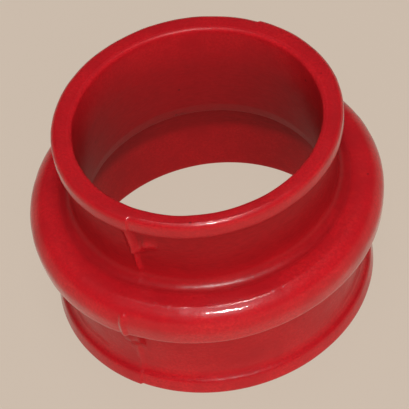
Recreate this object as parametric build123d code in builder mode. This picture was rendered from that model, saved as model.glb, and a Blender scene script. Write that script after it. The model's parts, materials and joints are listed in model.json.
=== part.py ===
from build123d import *
import os
from math import cos, radians, sin

# Cast concentric reducer with a shouldered lip and a groove at each end, made in one piece.
# Millimetres.  Origin on the axis in the large end's face, +Z along the axis to the small end.

# levels along the axis, measured up from the large end's face
total_height = 62.0
large_lip_top = 4.3
large_groove_bottom = 5.4
bore_step_bottom = 25.2
shoulder_underside = 25.9
shoulder_lower_edge = 26.4
bore_step_top = 29.4
shoulder_widest = 31.4
bore_flare_start = 33.0
shoulder_top = 37.0
small_groove_top = 56.7
small_lip_bottom = 57.2

# radii: the lips are cast a little under the nominal pipe radii, because the two mould halves
# are out of line along the parting plane and each lip reaches further there
mould_shift = 0.5
lip_undersize = 0.2
small_lip_radius = 38.05 - lip_undersize
small_groove_radius = small_lip_radius - 1.9
shoulder_radius = 47.95
shoulder_edge_radius = 47.4
large_lip_radius = 44.45 - lip_undersize
large_groove_radius = large_lip_radius - 2.1
small_bore_radius = 32.6
bore_flare_radius = 33.4
large_bore_radius = 39.2
section_inner_radius = 28.0

# roundings and fillets
small_lip_face_rounding = 1.2
small_lip_back_rounding = 0.9
small_lip_root_fillet = 1.2
large_lip_face_rounding = 0.8
large_lip_back_rounding = 0.6
large_lip_root_fillet = 3.0
shoulder_rounding = 5.2
shoulder_edge_rounding = 0.7
shoulder_root_fillet = 3.0
shoulder_underside_fillet = 2.0
bore_mouth_rounding = 1.0
bore_step_rounding = 0.8
bore_step_fillet = 2.5

# the mould's parting plane holds the axis and cuts the outside at these two azimuths
front_seam = -122.0
back_seam = front_seam + 180.0

# flash on the front seam: a ridge and a bead in the small end's groove, a web under the shoulder
ridge_width = 1.3
ridge_height = 0.9
ridge_bottom = 38.0
ridge_top = 57.0
bead_radius = 1.5
bead_azimuth = -115.5
bead_level = 51.5
web_width = 4.4
web_azimuth = front_seam + 0.6
web_radius = 44.8
web_shoulder = 22.0
web_bottom = 13.0
web_rounding = 1.5
web_root = 1.0


def toward(azimuth, distance=1.0, level=0.0):
    """The point at a distance from the axis in the direction of an azimuth."""
    return Vector(distance * cos(radians(azimuth)), distance * sin(radians(azimuth)), level)


def section_plane(azimuth, centre=Vector(0, 0, 0)):
    """The upright half-plane through a centre line: its x runs outward at the azimuth, its y up."""
    return Plane(origin=centre, x_dir=toward(azimuth), z_dir=toward(azimuth - 90))


outside = [
    ((section_inner_radius, 0), 0),
    ((large_lip_radius, 0), large_lip_face_rounding),
    ((large_lip_radius, large_lip_top), large_lip_back_rounding),
    ((large_groove_radius, large_groove_bottom), large_lip_root_fillet),
    ((large_groove_radius, shoulder_underside), shoulder_underside_fillet),
    ((shoulder_edge_radius, shoulder_lower_edge), shoulder_edge_rounding),
    ((shoulder_radius, shoulder_widest), 0),
    ((shoulder_radius, shoulder_top), shoulder_rounding),
    ((small_groove_radius, shoulder_top), shoulder_root_fillet),
    ((small_groove_radius, small_groove_top), small_lip_root_fillet),
    ((small_lip_radius, small_lip_bottom), small_lip_back_rounding),
    ((small_lip_radius, total_height), small_lip_face_rounding),
    ((section_inner_radius, total_height), 0),
]

web = [
    ((large_groove_radius - web_root, web_bottom), 0),
    ((large_groove_radius, web_bottom), 0),
    ((web_radius, web_shoulder), web_rounding),
    ((web_radius, shoulder_lower_edge), 0),
    ((large_groove_radius - web_root, shoulder_lower_edge), 0),
]

core = [
    ((0, 0), 0),
    ((large_bore_radius, 0), 0),
    ((large_bore_radius, bore_step_bottom), bore_step_fillet),
    ((bore_flare_radius, bore_step_top), bore_step_rounding),
    ((small_bore_radius, bore_flare_start), 0),
    ((small_bore_radius, total_height), 0),
    ((0, total_height), 0),
]


def rounded_section(outline):
    """The closed outline as a face, with each corner that has a radius rounded."""
    with BuildSketch() as section:
        with BuildLine():
            Polyline([point for point, _ in outline], close=True)
        make_face()
        for point, rounding in outline:
            if rounding:
                fillet(section.vertices().sort_by_distance((*point, 0))[0], rounding)
    return section.sketch


with BuildPart() as reducer_casting:
    # each mould half is half a turn from one seam to the other, moved along the parting plane
    for seam, opposite_seam in ((front_seam, back_seam), (back_seam, front_seam)):
        half_centre = toward(opposite_seam, mould_shift / 2)
        with BuildSketch(section_plane(seam, half_centre)):
            add(rounded_section(outside))
        revolve(axis=Axis(half_centre, (0, 0, 1)), revolution_arc=180)

    # flash ridge up the small end's groove, with a bead of metal beside it
    with BuildSketch(Plane.XY.offset(ridge_bottom)):
        with PolarLocations(small_groove_radius, 1, start_angle=front_seam):
            SlotOverall(2 * ridge_height, ridge_width)
    extrude(amount=ridge_top - ridge_bottom)
    with Locations(toward(bead_azimuth, small_groove_radius, bead_level)):
        Sphere(bead_radius)

    # web of flash that fills the corner under the shoulder
    with BuildSketch(section_plane(web_azimuth)):
        add(rounded_section(web))
    extrude(amount=web_width / 2, both=True)

    # the cored bore, with its step from the small bore out to the large one
    with BuildSketch(section_plane(0)):
        add(rounded_section(core))
    revolve(axis=Axis.Z, mode=Mode.SUBTRACT)
    bore_mouths = reducer_casting.edges().filter_by(GeomType.CIRCLE)
    fillet(bore_mouths.filter_by(lambda edge: abs(edge.radius - small_bore_radius) < 0.01).sort_by(Axis.Z)[-1],
           bore_mouth_rounding)
    fillet(bore_mouths.filter_by(lambda edge: abs(edge.radius - large_bore_radius) < 0.01).sort_by(Axis.Z)[0],
           bore_mouth_rounding)

reducer_casting.part.label = "reducer_casting"
os.makedirs("parts", exist_ok=True)
export_step(reducer_casting.part, "parts/reducer_casting.step")
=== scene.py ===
import json
from math import atan2, ceil, cos, radians, sin, tan

import bpy
import numpy as np
from mathutils import Matrix, Vector


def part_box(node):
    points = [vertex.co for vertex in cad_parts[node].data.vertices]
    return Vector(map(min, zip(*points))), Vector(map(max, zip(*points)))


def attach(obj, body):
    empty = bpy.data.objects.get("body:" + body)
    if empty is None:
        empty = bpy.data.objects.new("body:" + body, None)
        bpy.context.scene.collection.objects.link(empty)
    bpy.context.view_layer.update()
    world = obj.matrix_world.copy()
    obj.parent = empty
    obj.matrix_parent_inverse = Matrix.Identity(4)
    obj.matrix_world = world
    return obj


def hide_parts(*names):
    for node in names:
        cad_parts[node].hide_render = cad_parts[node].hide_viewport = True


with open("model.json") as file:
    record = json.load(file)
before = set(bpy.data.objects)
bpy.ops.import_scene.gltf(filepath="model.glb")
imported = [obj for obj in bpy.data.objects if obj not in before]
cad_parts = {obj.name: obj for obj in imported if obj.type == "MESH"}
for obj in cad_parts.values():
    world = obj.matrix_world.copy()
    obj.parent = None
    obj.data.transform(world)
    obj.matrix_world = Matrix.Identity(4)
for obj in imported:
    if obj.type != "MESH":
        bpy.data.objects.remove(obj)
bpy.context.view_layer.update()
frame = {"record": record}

# A cast concentric reducer under glossy red enamel. The visible casting is turned from one closed section,
# in the CAD model's frame: origin on the axis in the large end's face, +Z up to the small end. The casting's
# and the camera's lengths are in millimetres until they are made, and the stage and the lamps are in metres.

MM = 0.001
rng = np.random.default_rng(11)


def mount_radius(name):
    """The radius that the record states for one of its mounts."""
    return next(m for m in frame["record"]["mounts"] if m["name"] == name)["dims"]["r_mm"]


# ---- sizes ------------------------------------------------------------------------------------------------

total_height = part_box("reducer_casting")[1].z / MM
small_lip = mount_radius("small_end_lip")
large_lip = mount_radius("large_end_lip")
small_groove = small_lip - 2.1
large_groove = large_lip - 2.3
large_lip_top = 4.2
large_groove_bottom = 5.4
small_bore = mount_radius("small_bore")
large_bore = mount_radius("large_bore")
shoulder = 48.15
shoulder_edge = 47.8
shoulder_edge_level = 26.4
shoulder_widest = 30.6
shoulder_top = 37.0
small_groove_top = total_height - 5.3
small_lip_bottom = total_height - 4.8

# where the parting plane comes out in front, and how far the mould halves were out of line along it
front_seam = -122.0
mould_shift = 0.5
# the share by which the casting is out of round, the azimuth of its long axis, and the core's shift
out_of_round = 0.0143
long_axis = 39.8
core_shift = (0.04, -0.90)
# how much wider the large lip is at its face
lip_draft = 0.6

# radius, level and rounding of each corner of the section: up the outside, then down the bore
OUTSIDE = [
    (large_lip + lip_draft, 0.0, 0.8),
    (large_lip - lip_draft / 2, large_lip_top, 1.4),
    (large_groove, large_groove_bottom, 3.0),
    (large_groove, shoulder_edge_level - 0.5, 2.0),
    (shoulder_edge, shoulder_edge_level, 1.8),
    (shoulder, shoulder_widest, 14.0),
    (shoulder, shoulder_top, 5.6),
    (small_groove, shoulder_top, 3.0),
    (small_groove, small_groove_top, 1.2),
    (small_lip, small_lip_bottom, 0.9),
    (small_lip, total_height, 1.5),
]
BORE = [
    (small_bore, total_height, 1.0),
    (small_bore, 33.0, 4.0),
    (33.4, 29.4, 0.8),
    (large_bore, 25.2, 2.5),
    (large_bore, 0.0, 1.0),
]
# longest step along an arc and along a straight run of the section
ARC_STEP = 0.42
RUN_STEP = 1.25
# steps round the casting in degrees, near the seams and elsewhere
NEAR_STEP = 0.2
FAR_STEP = 0.9

# how much painted shade and how dull the paint is along the section, by place in the list of corners:
# painted shade darkens the small end's groove, the bore and the large end's groove towards the shoulder's
# underside, with a painted shadow in a band just under the bore's step and none low in the large bore; dull
# on the small end's groove, the bore and the large end's groove
SHADE_ALONG_SECTION = [
    (0, 0), (2, 0), (2.2, 0.3), (2.7, 0.4), (3.1, 0.8), (3.9, 0),
    (6.7, 0), (7.2, 1), (8.7, 1), (9.3, 0.2), (11, 0), (11.5, 0.9),
    (12.5, 0.9), (13, 1), (13.2, 1.1), (14.22, 1.1), (14.34, 0.1), (15.6, 0),
]
DULL_PAINT = [
    (0, 0), (1.9, 0), (2.1, 0.6), (2.9, 0.6), (3.2, 0), (6.2, 0),
    (6.8, 0.8), (8.7, 1), (9.3, 0.2), (10.5, 0), (10.9, 1), (15.2, 1),
    (15.6, 0),
]


# ---- the turned section -----------------------------------------------------------------------------------

def unit(v):
    return v / np.linalg.norm(v)


def rounded_section(corners):
    """The closed outline through the corners in short steps, each corner rounded by an arc.

    Returns the points, and for each point its place in the list of corners as a number that grows evenly.
    """
    arcs = []
    for i, (r, z, rounding) in enumerate(corners):
        here = np.array((r, z))
        back = unit(np.array(corners[i - 1][:2]) - here)
        on = unit(np.array(corners[(i + 1) % len(corners)][:2]) - here)
        half = np.arccos(back @ on) / 2
        centre = here + unit(back + on) * rounding / sin(half)
        start = here + back * rounding / tan(half) - centre
        end = here + on * rounding / tan(half) - centre
        turn = atan2(start[0] * end[1] - start[1] * end[0], start @ end)
        steps = max(3, ceil(abs(turn) * rounding / ARC_STEP))
        spin = turn * np.arange(steps + 1) / steps
        arcs.append(centre + np.outer(np.cos(spin), start) + np.outer(np.sin(spin), (-start[1], start[0])))
    points, place = [], []
    for i, arc in enumerate(arcs):
        points += list(arc)
        place += [i] * len(arc)
        gap = arcs[(i + 1) % len(arcs)][0] - arc[-1]
        steps = ceil(np.linalg.norm(gap) / RUN_STEP)
        points += [arc[-1] + gap * k / steps for k in range(1, steps)]
        place += [i + k / steps for k in range(1, steps)]
    return np.array(points), np.array(place)


def azimuths():
    """Azimuths once round, in degrees, closer together at the two seams and over the flash."""
    runs = [
        (-7.0, 11.5, NEAR_STEP), (11.5, 178.5, FAR_STEP),
        (178.5, 181.5, NEAR_STEP), (181.5, 353.0, FAR_STEP),
    ]
    return front_seam + np.concatenate([np.arange(start, end - 0.01, step) for start, end, step in runs])


def value_noise(points, cell, seed):
    """Smooth seeded noise between -1 and 1 with lumps about one cell across, at each point."""
    lattice = np.random.default_rng(seed).uniform(-1, 1, (32, 32, 32))
    scaled = points / cell
    low = np.floor(scaled).astype(int)
    t = scaled - low
    t = t * t * (3 - 2 * t)
    total = np.zeros(points.shape[:-1])
    for corner in np.ndindex(2, 2, 2):
        share = np.prod(np.where(corner, t, 1 - t), axis=-1)
        total += share * lattice[tuple(np.moveaxis((low + corner) % 32, -1, 0))]
    return total


def bump(distance, reach):
    """1 at no distance, falling smoothly to 0 at the reach."""
    return np.clip(1 - (distance / reach) ** 2, 0, 1) ** 2


def ramp(x, width):
    """0 below zero, 1 past the width, and smooth between."""
    t = np.clip(x / width, 0, 1)
    return t * t * (3 - 2 * t)


# ---- flash and casting marks ------------------------------------------------------------------------------
# strokes of metal on the outside, each from one azimuth and level to another: half its width, and its height

STROKES = [
    (-125.0, 55.8, -122.8, 48.2, 1.9, 0.80),
    (-122.8, 48.2, -121.8, 40.5, 1.2, 0.45),
    (-121.4, 48.6, -117.4, 51.2, 1.7, 0.70),
    (-117.0, 51.6, -114.6, 51.6, 1.9, 0.75),
    (-121.8, 34.0, -121.8, 26.4, 1.3, 0.60),
    (-122.4, 12.5, -122.2, 5.5, 1.5, 0.15),
]
# the web of flash in the corner under the shoulder
web_azimuth = -122.5
web_half_width = 2.1
web_radius = 45.4
web_shoulder = 22.0
web_bottom = 12.5


# height, size and seed of each layer of sand-cast unevenness under the paint
UNEVENNESS = [(0.075, 9.0, 1), (0.035, 3.6, 2), (0.02, 1.7, 3)]
LUMPS_AND_DENTS = 70
# share of the painted shade and of the dull paint that is taken off where flash stands out, so the flash
# shows lighter, as lit
SHADE_OFF_ON_FLASH = 0.75
GLOSSY_ON_FLASH = 0.50


def along_stroke(azimuth, level, radius, stroke):
    """How far each point of the outside lies from a stroke's middle line."""
    a0, z0, a1, z1 = stroke[:4]
    x, y = np.radians(azimuth - a0) * radius, level - z0
    dx, dy = np.radians(a1 - a0) * radius, z1 - z0
    t = np.clip((x * dx + y * dy) / (dx * dx + dy * dy), 0, 1)
    return np.hypot(x - t * dx, y - t * dy)


def casting():
    """The visible casting as one closed mesh."""
    outline, place = rounded_section(OUTSIDE + BORE)
    ahead, behind = np.roll(outline, -1, 0), np.roll(outline, 1, 0)
    normal = np.stack([(ahead - behind)[:, 1], -(ahead - behind)[:, 0]], 1)
    normal /= np.linalg.norm(normal, axis=1)[:, None]
    # 1 on the outside, 0 in the bore, and even between across each end's face
    last, size = len(OUTSIDE) - 1, len(OUTSIDE) + len(BORE)
    outer = np.interp(place, [0, last, last + 1, size - 1, size], [1, 1, 0, 0, 1])

    turn = azimuths()
    azimuth, r = np.meshgrid(turn, outline[:, 0], indexing="ij")
    level, on_outside = np.broadcast_arrays(outline[:, 1], np.broadcast_to(outer, r.shape))
    swing = np.radians(azimuth)
    ground = np.stack([r * np.cos(swing), r * np.sin(swing), level], -1)

    rise = sum(height * value_noise(ground, cell, seed) for height, cell, seed in UNEVENNESS)
    flash = np.zeros(r.shape)
    for stroke in STROKES:
        stood = on_outside * bump(along_stroke(azimuth, level, r, stroke), stroke[4])
        rise += stroke[5] * stood
        flash = np.maximum(flash, stood)

    # a thin line of metal stands where the mould halves met
    off_plane = r * np.sin(radians(1) * (azimuth - front_seam))
    line = bump(off_plane, 0.8) * (0.01 + 0.04 * value_noise(ground, 4.0, 4))
    rise += on_outside * line
    for _ in range(LUMPS_AND_DENTS):
        spot = rng.uniform((turn[0], 1.0), (turn[-1], total_height - 1.0))
        reach, height = rng.uniform(0.8, 1.7), rng.choice((-1, 1)) * rng.uniform(0.04, 0.10)
        rise += height * bump(along_stroke(azimuth, level, r, (*spot, spot[0] + 0.01, spot[1])), reach)

    # the large end's face stands flat on the floor
    rise *= ramp(level, 1.2)
    r = r + rise * normal[:, 0]
    level = level + rise * normal[:, 1]

    # the web is sharp on its right and runs out on its left
    across = np.radians(azimuth - web_azimuth) * r
    in_web = ramp(across + web_half_width + 0.6, 1.2) * (1 - ramp(across - web_half_width, 0.35))
    slope = ramp(level - web_bottom, web_shoulder - web_bottom)
    face = large_groove + (web_radius - large_groove) * slope ** 1.5
    below = (level > web_bottom) & (level < shoulder_edge_level + 0.3)
    below &= (r < web_radius) & (on_outside > 0.99)
    filled = np.where(below, np.maximum(r, face - 0.03 * (face - r)), r)
    r = r + in_web * (filled - r)

    # the step between the halves is sharp on the lips and was dressed smooth over the shoulder
    dressed = ramp(level - 24.0, 3.0) * (1 - ramp(level - 38.5, 3.0)) * ramp(r - small_groove - 0.4, 1.5)
    on_small_lip = ramp(r - small_lip + 1.2, 0.8) * ramp(level - 56.0, 1.0)
    on_large_lip = ramp(r - large_lip + 1.2, 0.8) * (level < 5.0)
    on_lips = np.clip(on_small_lip + on_large_lip, 0, 1)
    half = np.clip(off_plane / (0.8 - 0.5 * on_lips + 5.0 * dressed), -1, 1)
    half = half * (3 - half * half) / 2
    moved = mould_shift / 2 * half * on_outside
    x = r * np.cos(swing) - moved * cos(radians(front_seam)) + core_shift[0] * (1 - on_outside)
    y = r * np.sin(swing) - moved * sin(radians(front_seam)) + core_shift[1] * (1 - on_outside)
    # out of round: stretched along the long axis, narrowed across it
    c, s = out_of_round * cos(2 * radians(long_axis)), out_of_round * sin(2 * radians(long_axis))
    x, y = x + c * x + s * y, y + s * x - c * y
    piece = grid_mesh("reducer_body", np.stack([x, y, level], -1))
    # painted shade along the section, lifted where flash stands out so that the flash shows lighter, as lit;
    # the paint is also less dull there
    shade_share = np.interp(place, *zip(*SHADE_ALONG_SECTION)) * (1 - SHADE_OFF_ON_FLASH * flash)
    dull = np.interp(place, *zip(*DULL_PAINT)) * (1 - GLOSSY_ON_FLASH * flash)
    for name, share in (("deep_paint", shade_share), ("dull_paint", dull)):
        paint = piece.data.attributes.new(name, "FLOAT", "POINT")
        paint.data.foreach_set("value", share.ravel())
    return piece


def grid_mesh(name, grid):
    """A closed mesh from a grid of points that joins up with itself both ways, in millimetres."""
    rows, columns = grid.shape[:2]
    index = np.arange(rows * columns).reshape(rows, columns)
    next_row, next_column = np.roll(index, -1, 0), np.roll(index, -1, 1)
    faces = np.stack([index, next_row, np.roll(next_row, -1, 1), next_column], -1).reshape(-1, 4)
    mesh = bpy.data.meshes.new(name)
    mesh.from_pydata(grid.reshape(-1, 3) * MM, [], faces.tolist())
    mesh.polygons.foreach_set("use_smooth", [True] * len(faces))
    mesh.update()
    piece = bpy.data.objects.new(name, mesh)
    bpy.context.scene.collection.objects.link(piece)
    return piece


# ---- materials --------------------------------------------------------------------------------------------

class Nodes:
    """A short way to add nodes to a material or world and join them up."""

    def __init__(self, owner):
        owner.use_nodes = True
        self.tree = owner.node_tree
        self.tree.nodes.clear()

    def add(self, kind, inputs=None, **settings):
        node = self.tree.nodes.new(kind)
        for key, value in settings.items():
            setattr(node, key, value)
        for key, value in (inputs or {}).items():
            if isinstance(value, bpy.types.NodeSocket):
                self.tree.links.new(value, node.inputs[key])
            else:
                node.inputs[key].default_value = value
        return node

    def noise(self, at, scale, detail=3.0, roughness=0.55):
        return self.add("ShaderNodeTexNoise", {"Vector": at, "Scale": scale, "Detail": detail,
                                               "Roughness": roughness}).outputs["Fac"]

    def fit(self, value, low, high, to_low, to_high):
        return self.add("ShaderNodeMapRange", {"Value": value, "From Min": low, "From Max": high,
                                               "To Min": to_low, "To Max": to_high}).outputs["Result"]

    def bump(self, height, strength, distance, inputs=None):
        return self.add("ShaderNodeBump", {"Height": height, "Strength": strength, "Distance": distance,
                                           **(inputs or {})}).outputs["Normal"]

    def mix(self, factor, a, b):
        return self.add("ShaderNodeMix", {0: factor, 6: a, 7: b}, data_type="RGBA").outputs[2]


ENAMEL = (0.62, 0.0120, 0.0190, 1)
ENAMEL_DEEP = (0.47, 0.0080, 0.0140, 1)
ENAMEL_THIN = (0.66, 0.0200, 0.0190, 1)
# painted shade for the recessed section: a darker red, with darker streaks
ENAMEL_SHADED_WALLS = (0.37, 0.0075, 0.0110, 1)
ENAMEL_SHADED_STREAK = (0.26, 0.0050, 0.0080, 1)
SPECK = (0.10, 0.004, 0.006, 1)


def red_enamel():
    """Glossy enamel over a sand casting: deeper where it pooled, a few dark specks, uneven underneath, and
    painted shade in the recesses.
    """
    material = bpy.data.materials.new("red_enamel")
    n = Nodes(material)
    at = n.add("ShaderNodeTexCoord").outputs["Object"]
    pooled = n.fit(n.noise(at, 90.0, 4.0), 0.40, 0.68, 0.0, 1.0)
    colour = n.mix(pooled, ENAMEL, ENAMEL_DEEP)
    thin = n.fit(n.noise(at, 260.0, 3.0), 0.55, 0.75, 0.0, 0.5)
    colour = n.mix(thin, colour, ENAMEL_THIN)
    dust = n.fit(n.noise(at, 1500.0, 3.0), 0.35, 0.65, 0.0, 0.85)
    colour = n.mix(dust, colour, ENAMEL_DEEP)
    # painted shade: the attribute from the casting darkens the small end's groove, the bore, the large end's
    # groove and a band under the step towards a darker, streaked red
    wall_shade = n.add("ShaderNodeAttribute", attribute_name="deep_paint").outputs["Fac"]
    drawn = n.add("ShaderNodeMapping", {"Vector": at, "Scale": (1.0, 1.0, 4.0)}).outputs[0]
    streaks = n.noise(drawn, 420.0, 4.0, 0.65)
    shaded_wall_colour = n.mix(n.fit(streaks, 0.40, 0.72, 0.0, 0.75), ENAMEL_SHADED_WALLS, ENAMEL_SHADED_STREAK)
    colour = n.mix(wall_shade, colour, shaded_wall_colour)
    spots = n.add("ShaderNodeTexVoronoi", {"Vector": at, "Scale": 210.0}).outputs["Distance"]
    few = n.fit(n.noise(at, 130.0, 2.0), 0.58, 0.66, 0.0, 1.0)
    speck = n.fit(spots, 0.06, 0.10, 0.75, 0.0)
    speck = n.add("ShaderNodeMath", {0: speck, 1: few}, operation="MULTIPLY").outputs[0]
    colour = n.mix(speck, colour, SPECK)
    grain = n.noise(at, 900.0, 4.0, 0.6)
    peel = n.noise(at, 420.0, 3.0)
    sand = n.bump(grain, 0.6, 0.22 * MM)
    coat = n.bump(peel, 0.5, 0.16 * MM, {"Normal": n.bump(grain, 0.45, 0.08 * MM)})
    rough = n.fit(n.noise(at, 180.0, 4.0), 0.3, 0.7, 0.30, 0.48)
    dull = n.add("ShaderNodeAttribute", attribute_name="dull_paint").outputs["Fac"]
    shader = n.add("ShaderNodeBsdfPrincipled", {
        "Base Color": colour,
        "Roughness": rough,
        "Normal": sand,
        "Specular IOR Level": n.fit(dull, 0.0, 1.0, 0.07, 0.0),
        "Coat Weight": n.fit(dull, 0.0, 1.0, 1.0, 0.42),
        "Coat Roughness": n.fit(dull, 0.0, 1.0, 0.085, 0.34),
        "Coat IOR": 1.34,
        "Coat Normal": coat,
    }).outputs["BSDF"]
    n.add("ShaderNodeOutputMaterial", {"Surface": shader})
    return material


def glowing(name, colour, share):
    """A pale surface that gives most of its colour as even light of its own, so that shadows stay faint."""
    material = bpy.data.materials.new(name)
    n = Nodes(material)
    shader = n.add("ShaderNodeBsdfPrincipled", {
        "Base Color": (*(c * (1 - share) for c in colour), 1), "Roughness": 0.9, "Specular IOR Level": 0.0,
        "Emission Color": (*colour, 1), "Emission Strength": share,
    }).outputs["BSDF"]
    n.add("ShaderNodeOutputMaterial", {"Surface": shader})
    return material


# ---- stage: floor, surroundings, lamps, camera -----------------------------------------------------------

PALE = (0.617, 0.515, 0.423)
floor_radius = 3.0
floor_glow = 0.93
floor_gap = 0.00005
sky_dim = (0.03, 0.03, 0.03)
# lamp colours: nearly white, each a little off it
STRIP_LIGHT = (1.0, 0.97, 0.95)
CEILING_LIGHT = (1.0, 0.98, 0.96)
SHEEN_LIGHT = (1.0, 0.96, 0.98)
FILL_LIGHT = (1.0, 0.98, 0.98)


def floor():
    bpy.ops.mesh.primitive_circle_add(vertices=128, radius=floor_radius, fill_type="NGON")
    plane = bpy.context.object
    plane.name = "floor"
    plane.location.z = -floor_gap
    plane.data.materials.append(glowing("floor_paint", PALE, floor_glow))


def surroundings():
    """A pale wall at the horizon that fades to a dim room overhead."""
    world = bpy.data.worlds.new("room")
    bpy.context.scene.world = world
    n = Nodes(world)
    direction = n.add("ShaderNodeTexCoord").outputs["Generated"]
    up = n.add("ShaderNodeSeparateXYZ", {"Vector": direction}).outputs["Z"]
    colour = n.mix(n.fit(up, 0.10, 0.45, 0.0, 1.0), (*PALE, 1), (*sky_dim, 1))
    background = n.add("ShaderNodeBackground", {"Color": colour}).outputs["Background"]
    n.add("ShaderNodeOutputWorld", {"Surface": background})


def lamp(name, place, aim, size, power, colour, reflected):
    """A rectangular lamp, in metres, that faces the aim and only shows in the gloss, or else only lights."""
    light = bpy.data.lights.new(name, "AREA")
    light.shape, light.size, light.size_y = "RECTANGLE", *size
    light.energy, light.color = power, colour
    holder = bpy.data.objects.new(name, light)
    holder.location = place
    holder.visible_glossy = reflected
    holder.visible_diffuse = not reflected
    holder.rotation_euler = (Vector(aim) - Vector(place)).to_track_quat("-Z", "Y").to_euler()
    bpy.context.scene.collection.objects.link(holder)


def lamps():
    """Two strips and a broad sheen that only show in the gloss, and a softbox and a fill that only light."""
    middle = (0, 0, total_height / 2 * MM)
    softbox = (0.5, 1.5)
    lamp("front_strip", (0.04, -0.40, 0.945), middle, (0.14, 0.045), 11.0, STRIP_LIGHT, reflected=True)
    lamp("back_strip", (0.05, 0.174, 1.015), middle, (0.20, 0.03), 1.4, STRIP_LIGHT, reflected=True)
    lamp("ceiling", (0.03, -0.248, 1.306), middle, softbox, 10.0, CEILING_LIGHT, reflected=False)
    lamp("sheen", (0.03, -0.248, 1.30), middle, softbox, 4.5, SHEEN_LIGHT, reflected=True)
    lamp("fill", (0.10, -1.174, 0.79), middle, (0.9, 0.9), 10.1, FILL_LIGHT, reflected=False)


camera_elevation = 49.10
camera_roll = -7.731
camera_aim = (-0.96, -3.99, 31.0)
camera_distance = 460.54
sensor_width = 36.0
lens_in_picture_widths = 4.15648


def camera():
    data = bpy.data.cameras.new("camera")
    data.sensor_width = sensor_width
    data.lens = sensor_width * lens_in_picture_widths
    data.clip_start, data.clip_end = 0.01, 20.0
    tilt = radians(camera_elevation)
    back = Vector((0, -cos(tilt), sin(tilt)))
    view = bpy.data.objects.new("camera", data)
    upright = Matrix.Rotation(radians(90 - camera_elevation), 4, "X")
    turned = upright @ Matrix.Rotation(radians(camera_roll), 4, "Z")
    view.matrix_world = Matrix.Translation((Vector(camera_aim) + back * camera_distance) * MM) @ turned
    bpy.context.scene.collection.objects.link(view)
    bpy.context.scene.camera = view


bpy.context.scene.view_settings.view_transform = "Standard"
camera()
floor()
surroundings()
lamps()

reducer = casting()
reducer.data.materials.append(red_enamel())
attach(reducer, "root")
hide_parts("reducer_casting")
